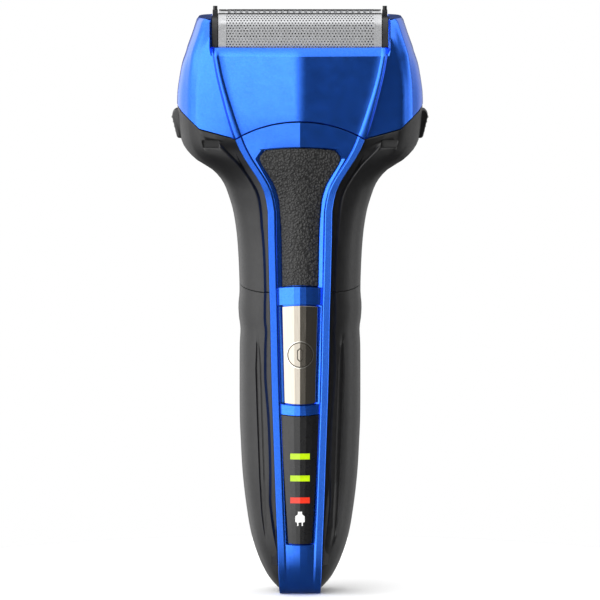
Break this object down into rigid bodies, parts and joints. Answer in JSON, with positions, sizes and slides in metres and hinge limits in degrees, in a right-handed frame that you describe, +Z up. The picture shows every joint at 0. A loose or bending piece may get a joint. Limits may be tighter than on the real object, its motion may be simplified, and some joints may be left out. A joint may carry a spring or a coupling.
{
  "type": "electric shaver",
  "caption": "Cordless foil shaver with a wide T-shaped head, creased front panel, floating foils, thumb power button, charge lights and a slide-up trimmer.",
  "frame": {"origin": "middle of the flat end of the tail, under the middle of the overall box", "axes": "+Z up the handle to the foils, -Y out of the front with the power button, +X to the right seen from the front"},
  "size_m": [0.0702, 0.0401, 0.16],
  "materials": {
    "blue_shell": "metallic lacquer, glossy",
    "black_shell": "fine matt",
    "side_key": "satin",
    "grip_rubber": "pebbled",
    "seal_rubber": "smooth",
    "button_metal": "satin, champagne tint",
    "window_lens": "polished, smoked",
    "green_light": "lit light guide",
    "red_light": "lit light guide",
    "foil_steel": "electroformed, bright",
    "blade_steel": "ground",
    "spring_steel": "drawn wire",
    "can_steel": "plated",
    "dark_plastic": "moulded",
    "pale_plastic": "moulded acetal",
    "board": "solder mask",
    "chip": "moulded",
    "cell_wrap": "shrink sleeve",
    "contact_metal": "plated",
    "light_chip": "moulded"
  },
  "bodies": {
    "handle": {"handle_sleeve": "black_shell", "neck_housing": "black_shell", "front_frame": "blue_shell", "grip_pad": "grip_rubber", "button_seal": "seal_rubber", "indicator_window": "window_lens", "charge_light_top": "green_light", "charge_light_middle": "green_light", "charge_light_low": "red_light", "inner_chassis": "pale_plastic", "battery_cell": "cell_wrap", "battery_tabs": "contact_metal", "circuit_board": "board", "board_parts": "chip", "tact_switch": "can_steel", "light_chips": "light_chip", "charge_inlet": "dark_plastic", "charge_contacts": "contact_metal", "inlet_seal": "seal_rubber", "motor": "can_steel", "motor_bracket": "can_steel", "motor_screws": "blade_steel", "head_deck": "dark_plastic", "deck_screws": "blade_steel", "drive_seal": "seal_rubber", "trimmer_housing": "black_shell"},
    "power_key": {"power_button": "button_metal"},
    "rotor": {"eccentric_shaft": "contact_metal"},
    "front_arm": {"drive_arm_front": "pale_plastic", "front_cutter_spring": "spring_steel"},
    "rear_arm": {"drive_arm_rear": "pale_plastic", "rear_cutter_spring": "spring_steel", "centre_blade": "blade_steel"},
    "front_cutter": {"front_blades": "blade_steel", "front_blade_holder": "pale_plastic"},
    "rear_cutter": {"rear_blades": "blade_steel", "rear_blade_holder": "pale_plastic"},
    "head": {"head_cap": "blue_shell", "foil_cassette": "dark_plastic", "centre_trimmer": "foil_steel"},
    "front_float": {"front_foil": "foil_steel", "front_foil_carrier": "dark_plastic"},
    "rear_float": {"rear_foil": "foil_steel", "rear_foil_carrier": "dark_plastic"},
    "release_left": {"release_button_left": "side_key", "release_spring_left": "spring_steel"},
    "release_right": {"release_button_right": "side_key", "release_spring_right": "spring_steel"},
    "trimmer": {"trimmer_slider": "dark_plastic", "trimmer_comb": "blade_steel"},
    "trimmer_cutter": {"trimmer_blade": "blade_steel"}
  },
  "joints": [
    {"name": "head_lift", "type": "slide", "parent": "handle", "child": "head", "axis": [0, 0, 1], "range_m": [0, 0.045]},
    {"name": "front_foil_float", "type": "slide", "parent": "head", "child": "front_float", "axis": [0, 0, -1], "range_m": [0, 0.0015], "stiffness_N_per_m": 400, "springref_m": -0.001},
    {"name": "rear_foil_float", "type": "slide", "parent": "head", "child": "rear_float", "axis": [0, 0, -1], "range_m": [0, 0.0015], "stiffness_N_per_m": 400, "springref_m": -0.001},
    {"name": "front_arm_stroke", "type": "slide", "parent": "handle", "child": "front_arm", "axis": [1, 0, 0], "range_m": [-0.001, 0.001], "stiffness_N_per_m": 300},
    {"name": "rear_arm_stroke", "type": "slide", "parent": "handle", "child": "rear_arm", "axis": [1, 0, 0], "range_m": [-0.001, 0.001], "stiffness_N_per_m": 300},
    {"name": "front_cutter_float", "type": "slide", "parent": "front_arm", "child": "front_cutter", "axis": [0, 0, -1], "range_m": [0, 0.0015], "stiffness_N_per_m": 400, "springref_m": -0.001, "deforming": ["front_cutter_spring"]},
    {"name": "rear_cutter_float", "type": "slide", "parent": "rear_arm", "child": "rear_cutter", "axis": [0, 0, -1], "range_m": [0, 0.0015], "stiffness_N_per_m": 400, "springref_m": -0.001, "deforming": ["rear_cutter_spring"]},
    {"name": "motor_spin", "type": "hinge", "parent": "handle", "child": "rotor", "pos_m": [0, 0, 0.11], "axis": [0, 0, 1], "continuous": true},
    {"name": "power_press", "type": "slide", "parent": "handle", "child": "power_key", "axis": [0, 1, 0], "range_m": [0, 0.0008], "stiffness_N_per_m": 1500, "springref_m": -0.0005},
    {"name": "release_left_press", "type": "slide", "parent": "handle", "child": "release_left", "axis": [1, 0, 0], "range_m": [0, 0.0012], "stiffness_N_per_m": 900, "springref_m": -0.0006, "deforming": ["release_spring_left"]},
    {"name": "release_right_press", "type": "slide", "parent": "handle", "child": "release_right", "axis": [-1, 0, 0], "range_m": [0, 0.0012], "stiffness_N_per_m": 900, "springref_m": -0.0006, "deforming": ["release_spring_right"]},
    {"name": "trimmer_slide", "type": "slide", "parent": "handle", "child": "trimmer", "axis": [0, 0, 1], "range_m": [0, 0.01]},
    {"name": "trimmer_stroke", "type": "slide", "parent": "trimmer", "child": "trimmer_cutter", "axis": [1, 0, 0], "range_m": [-0.0008, 0.0008], "stiffness_N_per_m": 150}
  ],
  "couplings": [
    {"joint": "rear_arm_stroke", "follows": "front_arm_stroke", "ratio": -1},
    {"joint": "front_cutter_float", "follows": "front_foil_float", "ratio": 1},
    {"joint": "rear_cutter_float", "follows": "rear_foil_float", "ratio": 1}
  ]
}
